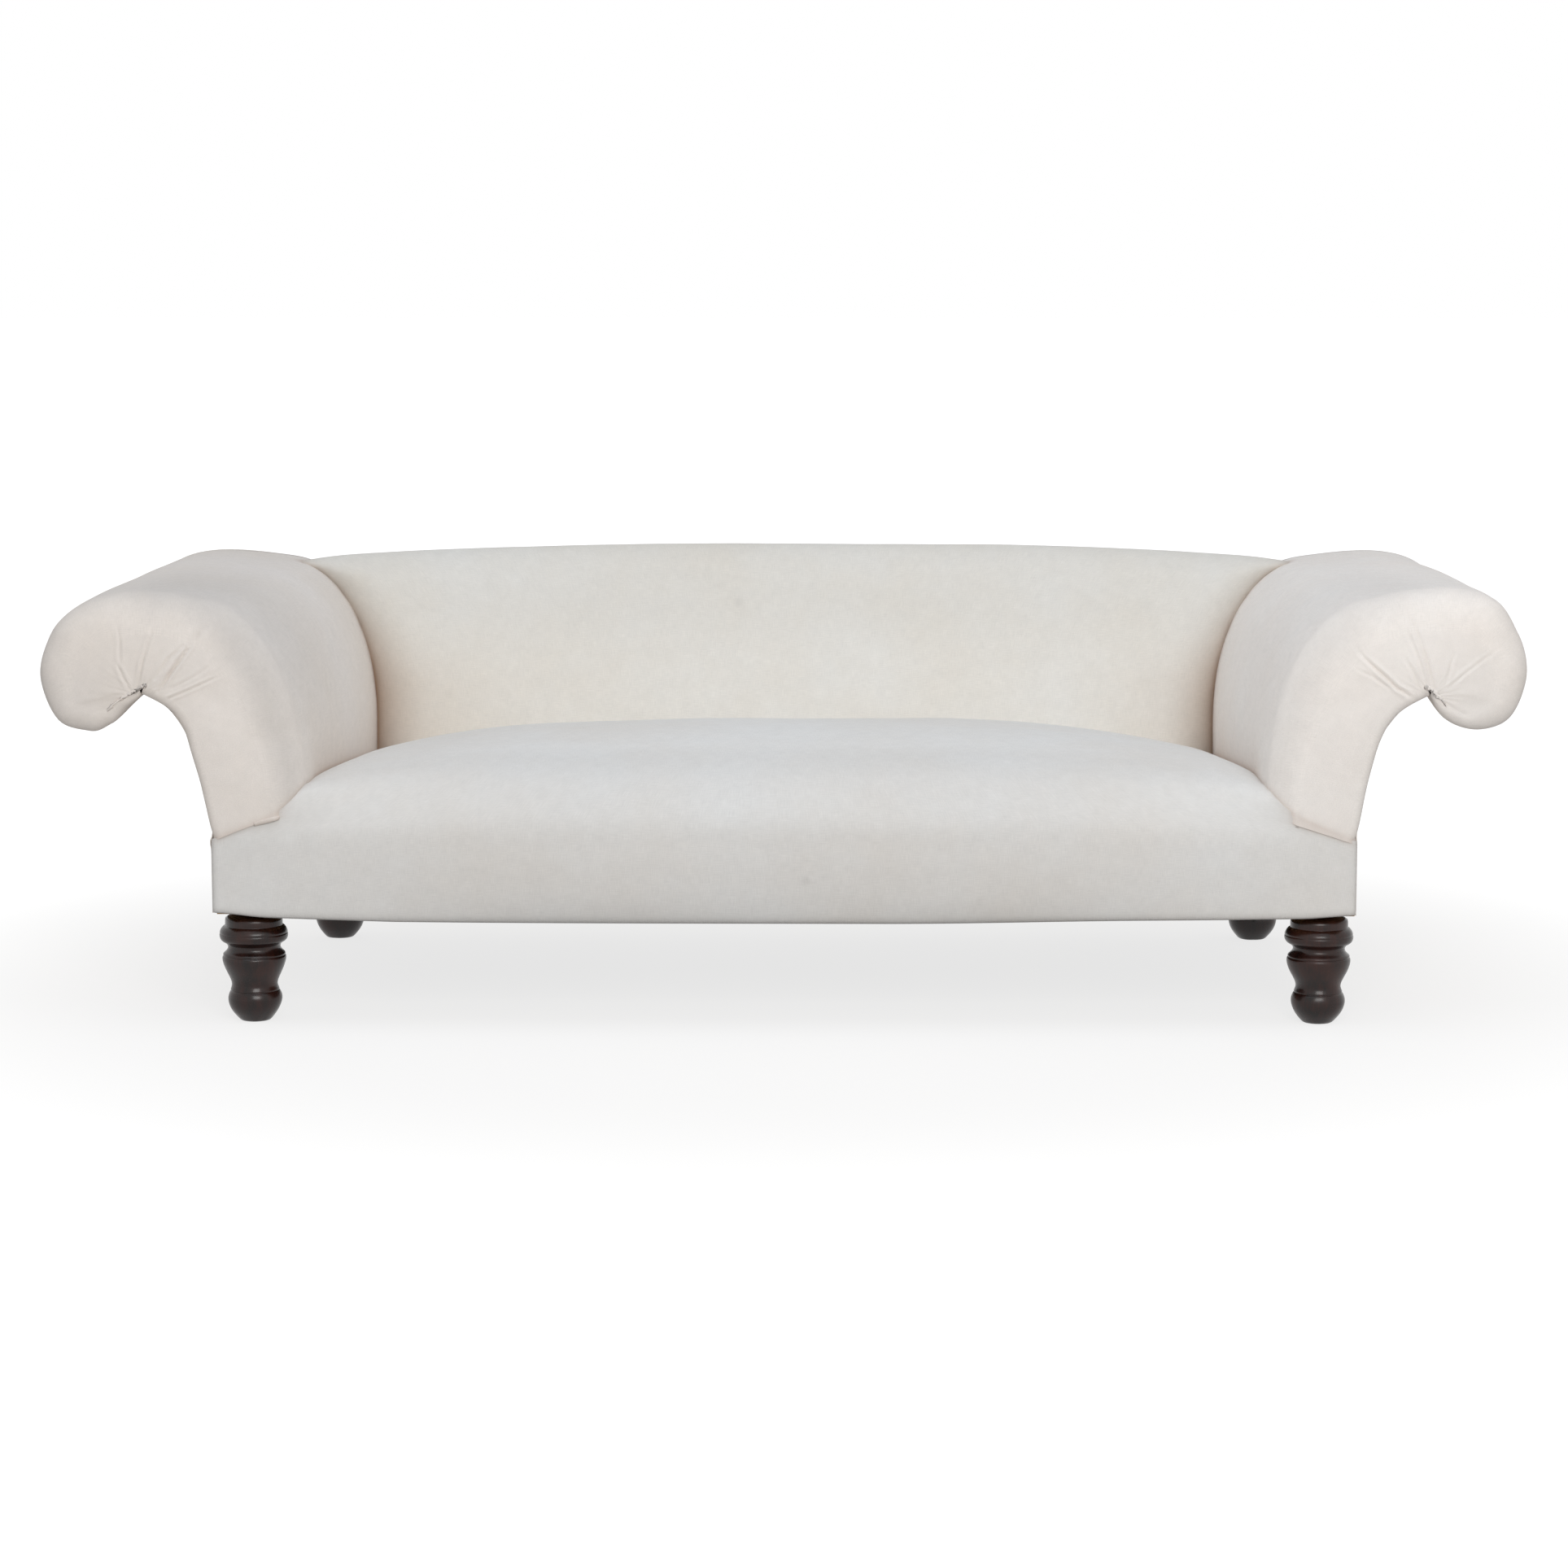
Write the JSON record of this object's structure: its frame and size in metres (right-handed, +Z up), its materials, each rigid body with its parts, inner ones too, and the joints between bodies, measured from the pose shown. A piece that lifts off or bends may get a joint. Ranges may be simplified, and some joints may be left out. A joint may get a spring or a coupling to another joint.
{
  "type": "scroll arm sofa",
  "caption": "Low-back sofa in plain calico with large out-scrolled arms, a domed sprung seat, an arched back and turned mahogany legs.",
  "frame": {"origin": "on the floor under the middle of the sofa's box", "axes": "+X to the viewer's right along the sofa, +Y from the front to the back, +Z up"},
  "size_m": [2.268, 0.892, 0.687],
  "materials": {
    "calico": "plain unbleached calico, matt, drawn smooth",
    "mahogany": "dark French-polished mahogany, worn at the rings",
    "beech": "bare sawn beech",
    "stuffing": "curled hair",
    "hessian": "open jute weave",
    "webbing": "tight jute webbing",
    "laid_cord": "laid hemp cord",
    "spring_steel": "coppered spring wire, dulled",
    "screw_steel": "plain steel",
    "bottom_cloth": "thin black dust cloth"
  },
  "bodies": {
    "root": {"front_seat_rail": "beech", "back_seat_rail": "beech", "left_seat_rail": "beech", "right_seat_rail": "beech", "left_seat_brace": "beech", "right_seat_brace": "beech", "front_left_corner_block": "beech", "front_right_corner_block": "beech", "back_left_corner_block": "beech", "back_right_corner_block": "beech", "corner_block_screws": "screw_steel", "joint_dowels": "beech", "left_arm_front_board": "beech", "right_arm_front_board": "beech", "left_arm_back_board": "beech", "right_arm_back_board": "beech", "left_arm_top_rail": "beech", "right_arm_top_rail": "beech", "left_arm_scroll_rail": "beech", "right_arm_scroll_rail": "beech", "left_arm_stuffing_rail": "beech", "right_arm_stuffing_rail": "beech", "back_top_rail": "beech", "back_left_post": "beech", "back_right_post": "beech", "back_stuffing_rails": "beech", "front_left_leg": "mahogany", "front_right_leg": "mahogany", "back_left_leg": "mahogany", "back_right_leg": "mahogany", "lengthwise_seat_webbing": "webbing", "crosswise_seat_webbing": "webbing", "seat_springs": "spring_steel", "spring_lashing": "laid_cord", "seat_hessian": "hessian", "seat_stuffing": "stuffing", "seat_cover": "calico", "left_arm_hessian": "hessian", "right_arm_hessian": "hessian", "left_arm_stuffing": "stuffing", "right_arm_stuffing": "stuffing", "left_arm_cover": "calico", "right_arm_cover": "calico", "left_outside_arm_cover": "calico", "right_outside_arm_cover": "calico", "back_webbing": "webbing", "back_hessian": "hessian", "back_stuffing": "stuffing", "inside_back_cover": "calico", "outside_back_cover": "calico", "bottom_cloth": "bottom_cloth"}
  },
  "joints": []
}
